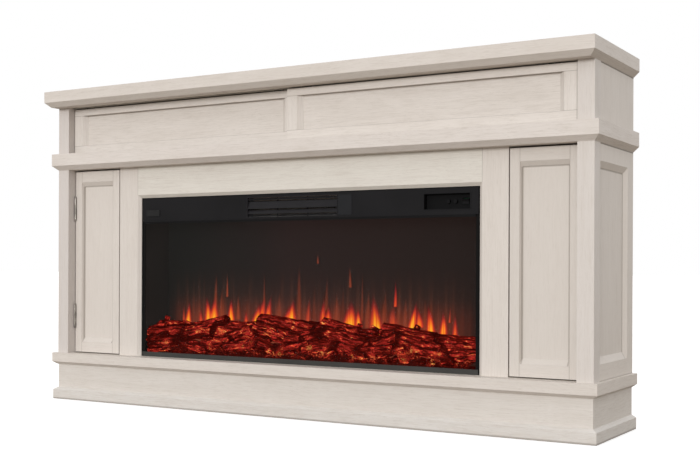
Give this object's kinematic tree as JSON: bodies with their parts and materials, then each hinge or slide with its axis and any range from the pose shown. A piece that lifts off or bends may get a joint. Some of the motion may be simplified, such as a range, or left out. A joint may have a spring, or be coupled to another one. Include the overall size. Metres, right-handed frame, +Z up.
{
  "type": "electric fireplace",
  "caption": "Long free-standing wooden mantel with an electric log fire insert, a media bay behind sliding doors, and a narrow hinged cabinet at each end.",
  "frame": {"origin": "middle of the overall footprint, on the floor", "axes": "+X to the right as seen from the front, +Y to the back, +Z up; the front faces -Y"},
  "size_m": [1.761, 0.362, 0.955],
  "materials": {
    "white_wood": "whitewashed open-grain veneer, matt lacquer",
    "inner_board": "plain pale board, satin",
    "back_board": "thin hardboard, matt",
    "track_aluminium": "satin",
    "hinge_steel": "antique pewter, satin",
    "catch_plastic": "matt moulded plastic over a magnet",
    "zinc_steel": "zinc plated",
    "glide_nylon": "natural nylon",
    "black_panel": "satin black powder coat",
    "grille_black": "satin black",
    "lens_black": "gloss, passes infrared",
    "badge_grey": "plain, with nothing on it",
    "strip_grey": "satin dark grey",
    "tinted_glass": "tinted tempered glass",
    "log_resin": "cast resin, painted as glowing bark",
    "ember_plastic": "translucent, lit from below",
    "screen_film": "smoky partly mirrored sheet",
    "rotor_foil": "polished",
    "wheel_aluminium": "satin",
    "heater_ceramic": "ceramic with metal fins",
    "board_green": "circuit board",
    "switch_black": "fine texture"
  },
  "bodies": {
    "mantel_and_insert": {"mantel_top": "white_wood", "mantel_moulding": "white_wood", "case_top": "inner_board", "upper_door_track": "track_aluminium", "left_post": "white_wood", "right_post": "white_wood", "left_side_panel": "white_wood", "right_side_panel": "white_wood", "side_insets": "white_wood", "mid_moulding": "white_wood", "mid_rail": "white_wood", "media_shelf": "white_wood", "lower_door_track": "track_aluminium", "bay_dividers": "inner_board", "fascia_rail": "white_wood", "fascia_stiles": "white_wood", "bottom_panel": "inner_board", "base_moulding": "white_wood", "plinth": "white_wood", "foot_moulding": "white_wood", "upper_back_panel": "back_board", "cabinet_back_panels": "back_board", "cabinet_shelves": "inner_board", "shelf_pins": "zinc_steel", "hinge_post_leaves": "hinge_steel", "door_catches": "catch_plastic", "firebox_shell": "black_panel", "control_fascia": "black_panel", "outlet_grille": "grille_black", "receiver_lens": "lens_black", "blank_badge": "badge_grey", "bottom_strip": "strip_grey", "glass_front": "tinted_glass", "log_set": "log_resin", "ember_bed": "ember_plastic", "flame_screen": "screen_film", "rotor_drive": "zinc_steel", "blower_motor": "zinc_steel", "blower_housing": "zinc_steel", "heater_element": "heater_ceramic", "circuit_boards": "board_green", "cord_gland": "switch_black", "mounting_brackets": "zinc_steel"},
    "left_sliding_door": {"left_slider_frame": "white_wood", "left_slider_panel": "white_wood", "left_slider_glides": "glide_nylon"},
    "right_sliding_door": {"right_slider_frame": "white_wood", "right_slider_panel": "white_wood", "right_slider_glides": "glide_nylon"},
    "left_cabinet_door": {"left_door_frame": "white_wood", "left_door_panel": "white_wood", "left_door_hardware": "hinge_steel"},
    "right_cabinet_door": {"right_door_frame": "white_wood", "right_door_panel": "white_wood", "right_door_hardware": "hinge_steel"},
    "flicker_rotor": {"flicker_rotor": "rotor_foil"},
    "blower_wheel": {"blower_wheel": "wheel_aluminium"},
    "main_switch": {"main_switch": "switch_black"},
    "flame_button": {"flame_button": "switch_black"},
    "heat_button": {"heat_button": "switch_black"}
  },
  "joints": [
    {"name": "left_door_slide", "type": "slide", "parent": "mantel_and_insert", "child": "left_sliding_door", "axis": [1, 0, 0], "range_m": [0, 0.814]},
    {"name": "right_door_slide", "type": "slide", "parent": "mantel_and_insert", "child": "right_sliding_door", "axis": [1, 0, 0], "range_m": [-0.814, 0]},
    {"name": "left_door_hinge", "type": "hinge", "parent": "mantel_and_insert", "child": "left_cabinet_door", "pos_m": [-0.8196, -0.1066, 0.4275], "axis": [0, 0, -1], "range_deg": [0, 100]},
    {"name": "right_door_hinge", "type": "hinge", "parent": "mantel_and_insert", "child": "right_cabinet_door", "pos_m": [0.8196, -0.1066, 0.4275], "axis": [0, 0, 1], "range_deg": [0, 100]},
    {"name": "rotor_spin", "type": "hinge", "parent": "mantel_and_insert", "child": "flicker_rotor", "pos_m": [0, 0.06, 0.188], "axis": [1, 0, 0], "continuous": true},
    {"name": "blower_spin", "type": "hinge", "parent": "mantel_and_insert", "child": "blower_wheel", "pos_m": [-0.015, 0.005, 0.5855], "axis": [1, 0, 0], "continuous": true},
    {"name": "switch_rock", "type": "hinge", "parent": "mantel_and_insert", "child": "main_switch", "pos_m": [0.512, -0.076, 0.5845], "axis": [-1, 0, 0], "range_deg": [0, 16]},
    {"name": "flame_button_press", "type": "slide", "parent": "mantel_and_insert", "child": "flame_button", "axis": [0, 1, 0], "range_m": [0, 0.0015], "stiffness_N_per_m": 400},
    {"name": "heat_button_press", "type": "slide", "parent": "mantel_and_insert", "child": "heat_button", "axis": [0, 1, 0], "range_m": [0, 0.0015], "stiffness_N_per_m": 400}
  ]
}
